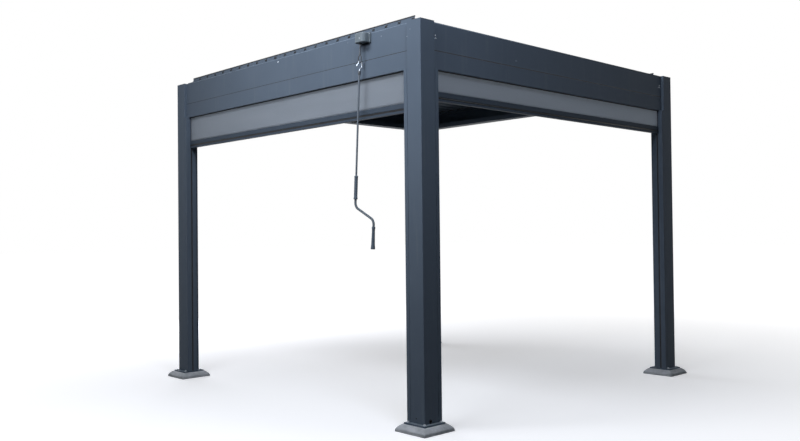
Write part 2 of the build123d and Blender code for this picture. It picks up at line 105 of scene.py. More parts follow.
# The photograph's camera, worked out from the posts' corners: place, angles in degrees, millimetres
CAMERA_PLACE = (5.04244, -5.01908, 1.20299)
CAMERA_TURN, CAMERA_RISE, CAMERA_ROLL = 46.740, -0.948, -0.606
CAMERA_LENS, CAMERA_SENSOR = 37.294, 36


def linear(hex_colour):
    """An sRGB hex colour as Blender's linear red, green, blue and alpha."""
    parts = [int(hex_colour[i:i + 2], 16) / 255 for i in (0, 2, 4)]
    return [p / 12.92 if p <= 0.04045 else ((p + 0.055) / 1.055) ** 2.4 for p in parts] + [1.0]


def add_node(tree, kind, inputs=None, **settings):
    """Adds one node with its settings, and fills or links its inputs."""
    made = tree.nodes.new(kind)
    for name, value in settings.items():
        setattr(made, name, value)
    for name, value in (inputs or {}).items():
        socket = made.inputs[name]
        if isinstance(value, bpy.types.NodeSocket):
            tree.links.new(value, socket)
        else:
            socket.default_value = value
    return made


def cleared(block):
    """Turns on the nodes of a material or a world, and empties them."""
    block.use_nodes = True
    block.node_tree.nodes.clear()
    return block.node_tree


def new_material(name, **sockets):
    """The nodes of a new material and its one Principled shader, whose plain sockets are set here."""
    tree = cleared(bpy.data.materials.new(name))
    shader = add_node(tree, "ShaderNodeBsdfPrincipled", {k.replace("_", " "): v for k, v in sockets.items()})
    add_node(tree, "ShaderNodeOutputMaterial", {"Surface": shader.outputs[0]})
    return tree, shader


def mixed(tree, share, first, second):
    """Two colours mixed by a share. Each is an sRGB hex colour or an earlier mix."""
    first, second = (linear(c) if isinstance(c, str) else c for c in (first, second))
    return add_node(tree, "ShaderNodeMix", {0: share, 6: first, 7: second}, data_type="RGBA").outputs[2]


def spread(tree, value, low, high, to_low=0.0, to_high=1.0):
    """A value's range from low to high, spread over another range and clamped."""
    inputs = {"Value": value, "From Min": low, "From Max": high, "To Min": to_low, "To Max": to_high}
    return add_node(tree, "ShaderNodeMapRange", inputs).outputs[0]


def times(tree, first, second):
    """Two values multiplied."""
    return add_node(tree, "ShaderNodeMath", {0: first, 1: second}, operation="MULTIPLY").outputs[0]


def object_place(tree):
    """The surface's own place on the piece."""
    return add_node(tree, "ShaderNodeTexCoord").outputs["Object"]


def noise_of(tree, place, size, detail=2.0, stretch=(1, 1, 1)):
    """Noise whose blotches are about `size` metres wide along an unstretched axis."""
    mapped = add_node(tree, "ShaderNodeMapping", {"Vector": place, "Scale": [s / size for s in stretch]})
    inputs = {"Vector": mapped.outputs[0], "Scale": 1.0, "Detail": detail, "Roughness": 0.55}
    return add_node(tree, "ShaderNodeTexNoise", inputs).outputs[0]


def upward(tree):
    """How far a surface faces the sky, from 0 at about 40 degrees to 1 when level."""
    normal = add_node(tree, "ShaderNodeNewGeometry").outputs["Normal"]
    return spread(tree, add_node(tree, "ShaderNodeSeparateXYZ", {0: normal}).outputs[2], 0.75, 1.0)


def feed(tree, shader, **values):
    """Links values to a shader's sockets, whose names have _ for each space."""
    for name, value in values.items():
        tree.links.new(value, shader.inputs[name.replace("_", " ")])


def bumped(tree, shader, height, depth):
    """Raises the surface by a height pattern of a real depth in metres."""
    bump = add_node(tree, "ShaderNodeBump", {"Strength": 1.0, "Distance": depth, "Height": height})
    feed(tree, shader, Normal=bump.outputs[0])


def powder_coat(name, coat, worn, dust, rough):
    """Aluminium under fine-textured polyester powder coat, sprayed and baked: an even, satin, leathery sheen.

    The real grain is about half a millimetre. It is drawn three times as coarse so that it shows.
    """
    tree, shader = new_material(name, Specular_IOR_Level=0.04)
    place = object_place(tree)
    cloud = noise_of(tree, place, 0.4, 3.0)
    streak = noise_of(tree, place, 0.03, 2.0, (1, 1, 0.06))
    tint = mixed(tree, spread(tree, cloud, 0.35, 0.7, 0.0, 0.5), coat, worn)
    tint = mixed(tree, spread(tree, streak, 0.58, 0.8, 0.0, 0.14), tint, dust)
    dusty = times(tree, upward(tree), spread(tree, cloud, 0.3, 0.7, 0.08, 0.4))
    tint = mixed(tree, dusty, tint, dust)
    feed(tree, shader, Base_Color=tint, Roughness=spread(tree, cloud, 0.3, 0.7, rough - 0.05, rough + 0.06))
    bumped(tree, shader, noise_of(tree, place, bpy.context.scene.pergola_sizes.coat_grain, 3.0), 0.12 * MM)


def mill_aluminium(name, colours):
    """Extruded aluminium left as it leaves the die: soft metal with fine lines along its length."""
    tree, shader = new_material(name, Metallic=1.0)
    place = object_place(tree)
    lines = noise_of(tree, place, 1.5 * MM, 2.0, (0.01, 1, 1))
    tint = mixed(tree, spread(tree, lines, 0.3, 0.7), colours.aluminium, colours.aluminium_dull)
    feed(tree, shader, Base_Color=tint, Roughness=spread(tree, lines, 0.3, 0.7, 0.32, 0.48))
    bumped(tree, shader, lines, 0.05 * MM)


def clouded(name, colours, clouds, share, gloss, grain, depth, **sockets):
    """A smooth finish whose colour and gloss drift in clouds, over a fine grain, with sizes in metres."""
    tree, shader = new_material(name, **sockets)
    place = object_place(tree)
    drift = noise_of(tree, place, clouds, 3.0)
    tint = mixed(tree, spread(tree, drift, *share), *colours)
    feed(tree, shader, Base_Color=tint, Roughness=spread(tree, drift, 0.3, 0.7, *gloss))
    bumped(tree, shader, noise_of(tree, place, grain), depth)


def plated_steel(name, fresh, dull, rough):
    """Zinc-plated steel, bright or black: mirror-like metal, dulled in small clouds by handling and rain."""
    gloss = (rough - 0.06, rough + 0.12)
    clouded(name, (fresh, dull), 7 * MM, (0.4, 0.75), gloss, 1.2 * MM, 0.04 * MM, Metallic=1.0)


def moulded_plastic(name, fresh, dull, rough):
    """Injection-moulded polyamide: flat colour with the fine spark-eroded grain of its mould."""
    gloss, grain = (rough - 0.05, rough + 0.08), bpy.context.scene.pergola_sizes.plastic_grain
    clouded(name, (fresh, dull), 30 * MM, (0.35, 0.75), gloss, grain, 0.06 * MM, Specular_IOR_Level=0.16)


def cast_concrete(name, colours):
    """Wet-cast concrete: light grey with sand grains, darker damp clouds and pinholes from trapped air."""
    tree, shader = new_material(name, Roughness=0.92)
    place = object_place(tree)
    sand = noise_of(tree, place, 2.2 * MM, 4.0)
    damp = noise_of(tree, place, 70 * MM, 3.0)
    tint = mixed(tree, spread(tree, damp, 0.35, 0.72), colours.concrete, colours.concrete_damp)
    tint = mixed(tree, spread(tree, sand, 0.55, 0.75, 0.0, 0.45), tint, colours.concrete_grain)
    pits = add_node(tree, "ShaderNodeTexVoronoi", {"Vector": place, "Scale": 1 / (11 * MM)}).outputs["Distance"]
    holes = spread(tree, pits, 0.06, 0.14)
    feed(tree, shader, Base_Color=mixed(tree, holes, colours.concrete_damp, tint))
    bumped(tree, shader, times(tree, sand, holes), 0.9 * MM)


def screen_cloth(name, colours):
    """Glass-fibre screen cloth, PVC-coated yarn woven as a basket weave of about half a millimetre.

    The yarns are drawn five times as wide so that the weave shows, with a faint crease haze across the width.
    Some of the light behind the cloth comes through it.
    """
    tree, shader = new_material(name, Roughness=0.72, Specular_IOR_Level=0.1)
    weave = add_node(tree, "ShaderNodeUVMap", uv_map="Cloth").outputs[0]
    pitch = math.pi / 10 / bpy.context.scene.pergola_sizes.yarn
    bands = [
        add_node(tree, "ShaderNodeTexWave", {"Vector": weave, "Scale": pitch}, bands_direction=way).outputs[1]
        for way in ("X", "Y")
    ]
    yarns = times(tree, *bands)
    haze = noise_of(tree, weave, 0.5, 3.0, (0.5, 4, 1))
    tint = mixed(tree, spread(tree, yarns, 0.0, 0.6), colours.cloth_shade, colours.cloth)
    tint = mixed(tree, spread(tree, haze, 0.4, 0.75, 0.0, 0.35), tint, colours.cloth_pale)
    feed(tree, shader, Base_Color=tint)
    bumped(tree, shader, yarns, 0.15 * MM)
    passed = add_node(tree, "ShaderNodeBsdfTranslucent", {"Color": linear(colours.cloth_glow)})
    both = add_node(tree, "ShaderNodeMixShader", {0: 0.45, 1: shader.outputs[0], 2: passed.outputs[0]})
    tree.links.new(both.outputs[0], tree.nodes["Material Output"].inputs[0])


def rubber(name, colours):
    """Black EPDM sealing rubber: dull, with a trace of chalking. The near-black strips and pads of painted shade
    wear it too.
    """
    tree, shader = new_material(name, Roughness=0.75)
    clouds = noise_of(tree, object_place(tree), 12 * MM, 3.0)
    tint = mixed(tree, spread(tree, clouds, 0.4, 0.8), colours.rubber, colours.rubber_chalk)
    feed(tree, shader, Base_Color=tint)


def seen_directly(tree):
    """1 for a ray from the camera, or one mirrored or passed on by gloss or glass, and 0 for diffuse light."""
    path = add_node(tree, "ShaderNodeLightPath").outputs
    seen = path["Is Camera Ray"]
    for kind in ("Is Glossy Ray", "Is Transmission Ray"):
        seen = add_node(tree, "ShaderNodeMath", {0: seen, 1: path[kind]}, operation="MAXIMUM").outputs[0]
    return seen


def floor_paint(name, colours):
    """The stage's floor: it fades to white away from the object, and throws little light back."""
    tree = cleared(bpy.data.materials.new(name))
    paint = add_node(tree, "ShaderNodeBsdfDiffuse", {"Color": linear(colours.floor)})
    distance = add_node(tree, "ShaderNodeVectorMath", {0: object_place(tree)}, operation="LENGTH").outputs["Value"]
    fade = spread(tree, distance, 2, 7, 0.4, 1)
    glow = add_node(tree, "ShaderNodeEmission", {"Color": (1, 1, 1, 1), "Strength": fade})
    both = add_node(tree, "ShaderNodeAddShader", {0: paint.outputs[0], 1: glow.outputs[0]})
    dull = add_node(tree, "ShaderNodeBsdfDiffuse", {"Color": linear(colours.floor_bounce)})
    shown = {0: seen_directly(tree), 1: dull.outputs[0], 2: both.outputs[0]}
    switch = add_node(tree, "ShaderNodeMixShader", shown)
    add_node(tree, "ShaderNodeOutputMaterial", {"Surface": switch.outputs[0]})


def length(name, description, millimetres):
    """A property that holds a length, given here in millimetres."""
    return bpy.props.FloatProperty(
        name=name, description=description, default=millimetres * MM,
        min=0, precision=4, unit="LENGTH", subtype="DISTANCE",
    )


def colour(name, description, value):
    """A property that holds a colour as an sRGB hex value."""
    return bpy.props.StringProperty(name=name, description=description, default=value)


class PergolaSizes(bpy.types.PropertyGroup):
    """The sizes that the finishes, the cloth and the small parts are drawn with."""

    coat_grain: length("Coat's grain", "Grain of the powder coat as drawn", 1.6)
    plastic_grain: length("Plastic's grain", "Grain of the moulded parts", 0.9)
    yarn: length("Yarn", "Width of the screen cloth's yarns as drawn", 2.4)
    cloth_thickness: length("Cloth", "Thickness of the screen cloth", 0.6)
    cloth_wave: length("Cloth's waves", "Depth of the waves in the screen cloth", 1.2)
    seal_gap: length("Seal's gap", "Gap between a blade's lip and the next blade", 2.5)
    washer: length("Washer", "Radius of the anchor bolts' washers", 9.2)
    bolt_head: length("Bolt's head", "Radius of the anchor bolts' heads, across their flats", 8)
    screw_head: length("Screw's head", "Radius of the frame's screw heads", 4)
    bush: length("Bush", "Radius of the blades' pin bushes", 10)


class PergolaColours(bpy.types.PropertyGroup):
    """The colours of the finishes, as sRGB hex values."""

    coat: colour("Coat", "Anthracite coat of the frame", "57626E")
    coat_worn: colour("Coat, chalked", "Coat after some summers", "606B77")
    dust: colour("Dust", "Dried rain and dust", "7E8685")
    # Painted highlight: the lighter coat of the beams' top bead stands in for the light that the top edge catches
    edge_highlight: colour("Arris", "Dusty top edge of the beams", "6F7C89")
    bar: colour("Bars", "Darker coat of the screens' bars", "3F4852")
    bar_worn: colour("Bars, worn", "Its worn parts", "48515B")
    aluminium: colour("Aluminium", "Bare extrusion", "C4C6C8")
    aluminium_dull: colour("Aluminium, dull", "Oxidised", "A9ACAF")
    zinc: colour("Zinc", "Bright zinc plate", "B6BDC4")
    zinc_dull: colour("Zinc, dull", "Weathered plate", "8F959A")
    screw: colour("Screw", "Grey coated screw heads", "8B949D")
    blackened: colour("Black plate", "Black zinc plate", "3A3D40")
    blackened_worn: colour("Black plate, worn", "Its worn parts", "5C5F62")
    housing: colour("Gearbox", "Grey moulded housing", "6A7479")
    housing_dull: colour("Gearbox, dull", "Its weathered parts", "60696E")
    rod: colour("Rod", "Grey coated crank rod", "6A7178")
    grip: colour("Grip", "Grey moulded grips", "525D68")
    grip_worn: colour("Grip, worn", "Where hands hold it", "5D6771")
    concrete: colour("Concrete", "Dry concrete", "BDC0C2")
    concrete_damp: colour("Concrete, damp", "Damp clouds", "989C9F")
    concrete_grain: colour("Concrete, sand", "Sand grains", "D6D6D2")
    cloth: colour("Cloth", "Screen cloth's yarn", "9DA3AA")
    cloth_shade: colour("Cloth, shade", "Between the yarns", "7F868D")
    cloth_pale: colour("Cloth, pale", "Hazy patches", "A9AFB5")
    cloth_glow: colour("Cloth, glow", "Light passed through", "D2D7DC")
    # Also the near-black of the strips and pads that are painted shade
    rubber: colour("Rubber", "Seals", "1B1C1E")
    rubber_chalk: colour("Rubber, chalked", "Worn seals", "2C2E30")
    floor: colour("Floor", "The floor as seen", "E4E4E4")
    floor_bounce: colour("Floor, bounce", "What it throws back", "5E5E5E")


def finish(name):
    """One of the pergola's finishes, made when it is first asked for."""
    if name in bpy.data.materials:
        return bpy.data.materials[name]
    colours = bpy.context.scene.pergola_colours
    coated = (colours.coat, colours.coat_worn, colours.dust)
    makers = {
        "frame_powder_coat": (powder_coat, *coated, 0.46),
        "blade_powder_coat": (powder_coat, *coated, 0.42),
        # Painted highlight: a lighter coat for the beams' top bead
        "edge_highlight_powder_coat": (powder_coat, colours.edge_highlight, colours.edge_highlight, colours.dust, 0.5),
        "bar_powder_coat": (powder_coat, colours.bar, colours.bar_worn, colours.coat, 0.5),
        "rod_powder_coat": (powder_coat, colours.rod, colours.housing_dull, colours.housing_dull, 0.5),
        "mill_aluminium": (mill_aluminium, colours),
        "zinc_plated_steel": (plated_steel, colours.zinc, colours.zinc_dull, 0.24),
        "housing_polyamide": (moulded_plastic, colours.housing, colours.housing_dull, 0.36),
        "grip_polyamide": (moulded_plastic, colours.grip, colours.grip_worn, 0.6),
        "coated_screw": (plated_steel, colours.screw, colours.coat_worn, 0.5),
        "black_polyamide": (moulded_plastic, colours.rubber, colours.rubber_chalk, 0.4),
        "blackened_steel": (plated_steel, colours.blackened, colours.blackened_worn, 0.36),
        "cast_concrete": (cast_concrete, colours),
        "screen_cloth": (screen_cloth, colours),
        "black_rubber_and_painted_shade": (rubber, colours),
        "stage_floor": (floor_paint, colours),
    }
    maker, *values = makers[name]
    maker(name, *values)
    return bpy.data.materials[name]


def paint_node(node, name):
    """Gives a solid of the frame its finish."""
    slots = frame["nodes"][node].material_slots
    if not slots:
        frame["nodes"][node].data.materials.append(finish(name))
    for slot in slots:
        slot.material = finish(name)


def keep(piece, body, slot, *replaced):
    """Hands a finished piece to its body, and hides the solids that it stands for."""
    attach(piece, body)
    if replaced:
        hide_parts(*replaced)
    return piece


def from_bmesh(name, bm, material, smooth=False, angle=None):
    """A piece at the origin, with its normals set outwards. Given an angle, only sharper edges stay sharp."""
    bmesh.ops.recalc_face_normals(bm, faces=bm.faces)
    if angle is not None:
        for edge in bm.edges:
            edge.smooth = edge.calc_face_angle(0.0) < math.radians(angle)
        smooth = True
    mesh = bpy.data.meshes.new(name)
    bm.to_mesh(mesh)
    bm.free()
    mesh.materials.append(finish(material))
    for face in mesh.polygons:
        face.use_smooth = smooth
    piece = bpy.data.objects.new(name, mesh)
    bpy.context.scene.collection.objects.link(piece)
    return piece


def frame_piece(name, bm, material="black_rubber_and_painted_shade", slot="grip_plastic", *replaced, angle=None):
    """A piece from a bmesh that rides on the frame."""
    return keep(from_bmesh(name, bm, material, angle=angle), "frame", slot, *replaced)


def box_mm(node):
    """A solid's two corners in millimetres."""
    return [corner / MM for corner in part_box(node)]


def side_axes(side):
    """The axis along a side's beam, the axis across it, and which way on that one is outwards."""
    return (0, 1, -1) if side == "front" else (1, 0, 1)


def side_box(node, side):
    """A solid seen from one side, in millimetres: its ends along the beam, its outer face and its heights."""
    low, high = box_mm(node)
    along, across, way = side_axes(side)
    return (low[along], high[along]), (low if way < 0 else high)[across], (low.z, high.z)


def loft(bm, rings, closed=False):
    """Skins rings of equal length, given in millimetres, and closes both ends or joins the last to the first."""
    rows = [[bm.verts.new(Vector(point) * MM) for point in ring] for ring in rings]
    pairs = list(zip(rows, rows[1:]))
    if closed:
        pairs.append((rows[-1], rows[0]))
    else:
        bm.faces.new(rows[0])
        bm.faces.new(rows[-1])
    for lower, upper in pairs:
        for i in range(len(lower)):
            j = (i + 1) % len(lower)
            bm.faces.new((lower[i], lower[j], upper[j], upper[i]))


def block(bm, low, high):
    """A plain block between two corners, in millimetres, as one member of a larger piece."""
    corners = [(low[0], low[1]), (high[0], low[1]), (high[0], high[1]), (low[0], high[1])]
    loft(bm, [[(x, y, z) for x, y in corners] for z in (low[2], high[2])])


def pivot_x(number):
    """The place along the beam of a blade's pivot, in millimetres, for blades numbered from 0 at the left."""
    return (number - (len(BLADE_NODES) - 1) / 2) * BLADE_PITCH


def slab(bm, side, ends, face, out, heights):
    """A block on one side: its two ends, its reach out of a given face, and its heights, in millimetres."""
    along, across, way = side_axes(side)
    corners = [[0, 0, z] for z in heights]
    for corner, end, depth in zip(corners, sorted(ends), sorted(face + way * reach for reach in out)):
        corner[along], corner[across] = end, depth
    block(bm, *corners)


def ring(radius, z, sides=32, corners=0):
    """A level ring. With corners it is that many-sided, and the radius is that of its flats."""
    points = []
    for i in range(sides):
        turn = 2 * math.pi * i / sides
        reach = radius
        if corners:
            half = math.pi / corners
            reach = radius / math.cos((turn % (2 * half)) - half)
        points.append((reach * math.cos(turn), reach * math.sin(turn), z))
    return points


def lathe(bm, profile, sides=32, closed=False):
    """A turned form from (height, radius) pairs."""
    loft(bm, [ring(radius, z, sides) for z, radius in profile], closed)


def bent_path(points, radii, step=5.0):
    """A wire's centre line: straight runs with an arc of the given radius at each inner point."""
    points = [Vector(point) for point in points]
    line = [points[0]]
    for before, corner, after, radius in zip(points, points[1:], points[2:], radii):
        back, ahead = (before - corner).normalized(), (after - corner).normalized()
        half = back.angle(ahead) / 2
        centre = corner + (back + ahead).normalized() * radius / math.sin(half)
        start = corner + back * radius / math.tan(half) - centre
        end = corner + ahead * radius / math.tan(half) - centre
        count = max(6, int(start.angle(end) * radius / step))
        turn = start.rotation_difference(end)
        for i in range(count + 1):
            line.append(centre + Quaternion().slerp(turn, i / count) @ start)
    line.append(points[-1])
    return line


def wire(bm, line, radius, sides=20, round_end=False):
    """A round wire along a centre line, with a domed tip where asked."""
    heading = (line[1] - line[0]).normalized()
    side = heading.orthogonal().normalized()
    rings = []
    for i, point in enumerate(line):
        ahead = (line[min(i + 1, len(line) - 1)] - line[max(i - 1, 0)]).normalized()
        side = (heading.rotation_difference(ahead) @ side).normalized()
        heading = ahead
        rings.append((point, side.copy(), heading.cross(side), radius))
    if round_end:
        point, side, other, _ = rings[-1]
        for angle in (25, 50, 72):
            turn = math.radians(angle)
            rings.append((point + heading * radius * math.sin(turn), side, other, radius * math.cos(turn)))
    turns = [2 * math.pi * i / sides for i in range(sides)]
    loft(bm, [[p + (a * math.cos(t) + b * math.sin(t)) * r for t in turns] for p, a, b, r in rings])


def crank_piece(name, bm, material, slot, *replaced, angle=40):
    """A piece of the crank, drawn in millimetres about the eye's centre, set on the crank's leaning axis."""
    axis = Vector(CRANK["axis"]).normalized()
    columns = Matrix((Vector((axis.z, 0, -axis.x)), Vector((0, 1, 0)), axis)).transposed()
    bm.transform(Matrix.Translation(CRANK["pos_m"]) @ columns.to_4x4())
    return keep(from_bmesh(name, bm, material, angle=angle), "crank", slot, *replaced)


def fixings_tree():
    """Geometry nodes that set one small part on every point, turned as the point's "turn" says.

    Each copy is also spun about its own axis by a random angle with a fixed seed.
    """
    tree = bpy.data.node_groups.new("fixings", "GeometryNodeTree")
    kinds = {"Geometry": "Geometry", "Part": "Object", "Size": "Float", "Seed": "Int", "Finish": "Material"}
    for name, kind in kinds.items():
        tree.interface.new_socket(name, in_out="INPUT", socket_type="NodeSocket" + kind)
    tree.interface.new_socket("Geometry", in_out="OUTPUT", socket_type="NodeSocketGeometry")
    given = add_node(tree, "NodeGroupInput").outputs
    turn = add_node(tree, "GeometryNodeInputNamedAttribute", {"Name": "turn"}, data_type="FLOAT_VECTOR").outputs[0]
    facing = add_node(tree, "FunctionNodeEulerToRotation", {0: turn}).outputs[0]
    angle = add_node(tree, "FunctionNodeRandomValue", {2: 0.0, 3: 2 * math.pi, "Seed": given["Seed"]}).outputs[1]
    spin = add_node(tree, "FunctionNodeAxisAngleToRotation", {"Axis": (0, 0, 1), "Angle": angle}).outputs[0]
    facing = add_node(tree, "FunctionNodeRotateRotation", {0: facing, 1: spin}, rotation_space="LOCAL").outputs[0]
    part = add_node(tree, "GeometryNodeObjectInfo", {"Object": given["Part"]}).outputs["Geometry"]
    inputs = {"Points": given["Geometry"], "Instance": part, "Rotation": facing, "Scale": given["Size"]}
    copies = add_node(tree, "GeometryNodeInstanceOnPoints", inputs).outputs[0]
    solid = add_node(tree, "GeometryNodeRealizeInstances", {"Geometry": copies}).outputs[0]
    coated = add_node(tree, "GeometryNodeSetMaterial", {"Geometry": solid, "Material": given["Finish"]}).outputs[0]
    add_node(tree, "NodeGroupOutput", {"Geometry": coated})
    return tree


def fixings(name, profile, places, material="zinc_plated_steel", slot="hook_steel", seed=0, sides=24):
    """Small turned parts at places given in millimetres as (point, outward direction), as one piece.

    The profile is a list of (height, radius, corners), where corners is 0 for a round step.
    """
    bm = bmesh.new()
    loft(bm, [ring(radius, z, sides, corners) for z, radius, corners in profile])
    bmesh.ops.recalc_face_normals(bm, faces=bm.faces)
    shape = bpy.data.meshes.new(name + "_shape")
    bm.to_mesh(shape)
    bm.free()
    part = bpy.data.objects.new(name + "_shape", shape)
    points = bpy.data.meshes.new(name + "_points")
    points.from_pydata([Vector(point) * MM for point, _ in places], [], [])
    turns = points.attributes.new("turn", "FLOAT_VECTOR", "POINT")
    for place, (_, way) in zip(turns.data, places):
        place.vector = Vector(way).to_track_quat("Z", "Y").to_euler()
    holder = bpy.data.objects.new(name + "_points", points)
    for helper in (part, holder):
        bpy.context.scene.collection.objects.link(helper)
    modifier = holder.modifiers.new("Fixings", "NODES")
    modifier.node_group = bpy.data.node_groups.get("fixings") or fixings_tree()
    values = {"Part": part, "Size": 1.0, "Seed": seed, "Finish": finish(material)}
    for item in modifier.node_group.interface.items_tree:
        if item.in_out == "INPUT" and item.name in values:
            modifier[item.identifier] = values[item.name]
    evaluated = holder.evaluated_get(bpy.context.evaluated_depsgraph_get())
    whole = bpy.data.meshes.new_from_object(evaluated)
    holder.modifiers.remove(modifier)
    for helper in (part, holder):
        bpy.data.objects.remove(helper)
    bm = bmesh.new()
    bm.from_mesh(whole)
    return frame_piece(name, bm, material, slot, angle=35)


class PERGOLA_OT_coat(bpy.types.Operator):
    """Coats the frame, the blades, the screens' metal parts and the drive"""

    bl_idname = "pergola.coat"
    bl_label = "Coated metal"

    def execute(self, context):
        for name, starts in NODE_FINISHES.items():
            for node in frame["nodes"]:
                if node.startswith(starts):
                    paint_node(node, name)
        return {"FINISHED"}


class PERGOLA_OT_screens(bpy.types.Operator):
    """Hangs the two screens' cloth between their rollers and bottom bars"""

    bl_idname = "pergola.screens"
    bl_label = "Screen cloth"

    def execute(self, context):
        for side in SIDES:
            self.hang(side, context.scene.pergola_sizes)
        return {"FINISHED"}

    def hang(self, side, sizes):
        """One sheet, tight between its guides, with the shallow waves that the wind leaves in it."""
        low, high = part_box("screen_fabric_" + side)
        along, across, _ = side_axes(side)
        width, drop = high[along] - low[along], high[2] - low[2]
        middle = (low[across] + high[across]) / 2
        columns, rows = 220, 16
        bm = bmesh.new()
        cloth = bm.loops.layers.uv.new("Cloth")
        grid = {}
        for row in range(rows + 1):
            for column in range(columns + 1):
                u, v = column / columns, row / rows
                hold = min(1.0, 6 * u, 6 * (1 - u)) * math.sin(math.pi * v)
                wave = noise.noise(Vector((u * 9, v * 1.3, 3.0 + along))) * sizes.cloth_wave
                place = [0.0, 0.0, low[2] + drop * v]
                place[along] = low[along] + width * u
                place[across] = middle + wave * hold
                grid[row, column] = bm.verts.new(place)
        for row in range(rows):
            for column in range(columns):
                corners = [(row, column), (row, column + 1), (row + 1, column + 1), (row + 1, column)]
                face = bm.faces.new([grid[corner] for corner in corners])
                for loop, (r, c) in zip(face.loops, corners):
                    loop[cloth].uv = (width * c / columns, drop * r / rows)
        piece = from_bmesh("screen_cloth_" + side, bm, "screen_cloth", smooth=True)
        thickness = piece.modifiers.new("Thickness", "SOLIDIFY")
        thickness.thickness = sizes.cloth_thickness
        thickness.offset = 0.0
        keep(piece, "frame", "screen_fabric", "screen_fabric_" + side)


class PERGOLA_OT_crank(bpy.types.Operator):
    """Makes the crank: eye, hook, ferrule, bent rod, sleeve and grip"""

    bl_idname = "pergola.crank"
    bl_label = "Crank"

    def execute(self, context):
        self.eye()
        self.hook()
        self.rod()
        self.handles()
        return {"FINISHED"}

    def eye(self):
        """The gearbox's output shaft, forged out into an oblong ring."""
        bm = bmesh.new()
        lathe(bm, [(13, 4.6), (17, 6.2), (24, 6.2), (29, 4), (107, 4)], 20)
        steps = 20
        turns = [2 * math.pi * k / 14 for k in range(14)]
        rings = []
        for half in (0, 1):
            for step in range(steps + 1):
                a = math.pi * step / steps + math.pi * half
                out = Vector((math.cos(a), 0, math.sin(a)))
                centre = out * EYE_RADIUS - Vector((0, 0, EYE_STRAIGHT * half))
                rings.append([centre + (out * math.cos(t) + Vector((0, math.sin(t), 0))) * EYE_WIRE for t in turns])
        loft(bm, rings, closed=True)
        crank_piece("gear_eye_forged", bm, "blackened_steel", "hook_steel", "gear_eye", angle=60)

    def hook(self):
        """A bent bright wire that hangs in the eye, and the dark ferrule that joins it to the rod."""
        seat = 7.8
        top = seat - EYE_RADIUS - EYE_STRAIGHT
        corner = -seat * math.tan(math.radians(30))
        tip = Vector((0, corner - 18, top - 31.2))
        points = [(0, 0, -87), (0, 0, -78), (0, 21, -57), (0, 21, top), (0, corner, top), tip]
        bm = bmesh.new()
        wire(bm, bent_path(points, (7, 14, 14, seat), 1.5), 4, 20, round_end=True)
        crank_piece("crank_hook_bent", bm, "zinc_plated_steel", "hook_steel", "crank_hook", angle=60)
        bm = bmesh.new()
        lathe(bm, [(-84.4, 6), (-85, 7.9), (-86.5, 8.5), (-109.5, 8.5), (-110.6, 8), (-111.2, 7)])
        lathe(bm, [(-95.6, 8.7), (-96, 8.9), (-97.4, 8.9), (-97.8, 8.7)])
        crank_piece("crank_ferrule", bm, "blackened_steel", "hook_steel")

    def rod(self):
        """The coated rod, thicker below the sleeve, where it is bent out to the side and down again."""
        bm = bmesh.new()
        lathe(bm, [(ROD_TOP, ROD_RADIUS), (ROD_JOINT - 4, ROD_RADIUS)], 28)
        straight = [(0, 0, ROD_JOINT), (0, 0, ROD_BEND)]
        handle = [(HANDLE_OFFSET, 0, ROD_BEND - HANDLE_STEP), (HANDLE_OFFSET, 0, ROD_FOOT)]
        wire(bm, bent_path(straight + handle, (BEND_RADIUS, BEND_RADIUS), 4.0), BENT_RADIUS, 28)
        crank_piece("crank_rod_bent", bm, "rod_powder_coat", "rod_coat", "crank_rod")

    def handles(self):
        """The loose upper sleeve and the lower grip, with their heights measured from their own tops."""
        sleeve = [(0, 10.6), (-0.8, 12), (-2, 12.5), (-9, 12.5), (-10.4, 12.2), (-13, 11.6)]
        for i in range(6):
            z = -29 - 19.5 * i
            sleeve += [(z + 3, 11.8), (z, 11.4), (z - 3, 11.8)]
        sleeve += [(-141, 12), (-144, 13), (-145.2, 13.5), (-152.6, 13.5), (-153.6, 13), (-154, 11)]
        self.moulded("crank_sleeve", sleeve + [(-154, 8.4), (0, 8.4)], SLEEVE_TOP, 0, closed=True)
        grip = [(0, 9.4), (-0.8, 11), (-2, 11.5), (-12.5, 11.5), (-14, 11.2), (-18, 9.8)]
        for i in range(5):
            z = -32 - 17 * i
            grip += [(z + 3, 10 + 0.4 * i), (z, 9.7 + 0.4 * i), (z - 3, 10 + 0.4 * i)]
        grip += [(-116, 12), (-133, 14.2), (-136, 14.5), (-141.5, 14.5), (-143.8, 13.6), (-144.8, 11), (-145, 6)]
        self.moulded("crank_grip", grip, GRIP_TOP, HANDLE_OFFSET)

    def moulded(self, node, profile, top, offset, closed=False):
        """A handle moulded with collars and shallow finger grooves, in place of its solid."""
        bm = bmesh.new()
        lathe(bm, [(top + z, radius) for z, radius in profile], closed=closed)
        bm.transform(Matrix.Translation((offset * MM, 0, 0)))
        crank_piece(node + "_moulded", bm, "grip_polyamide", "grip_plastic", node)


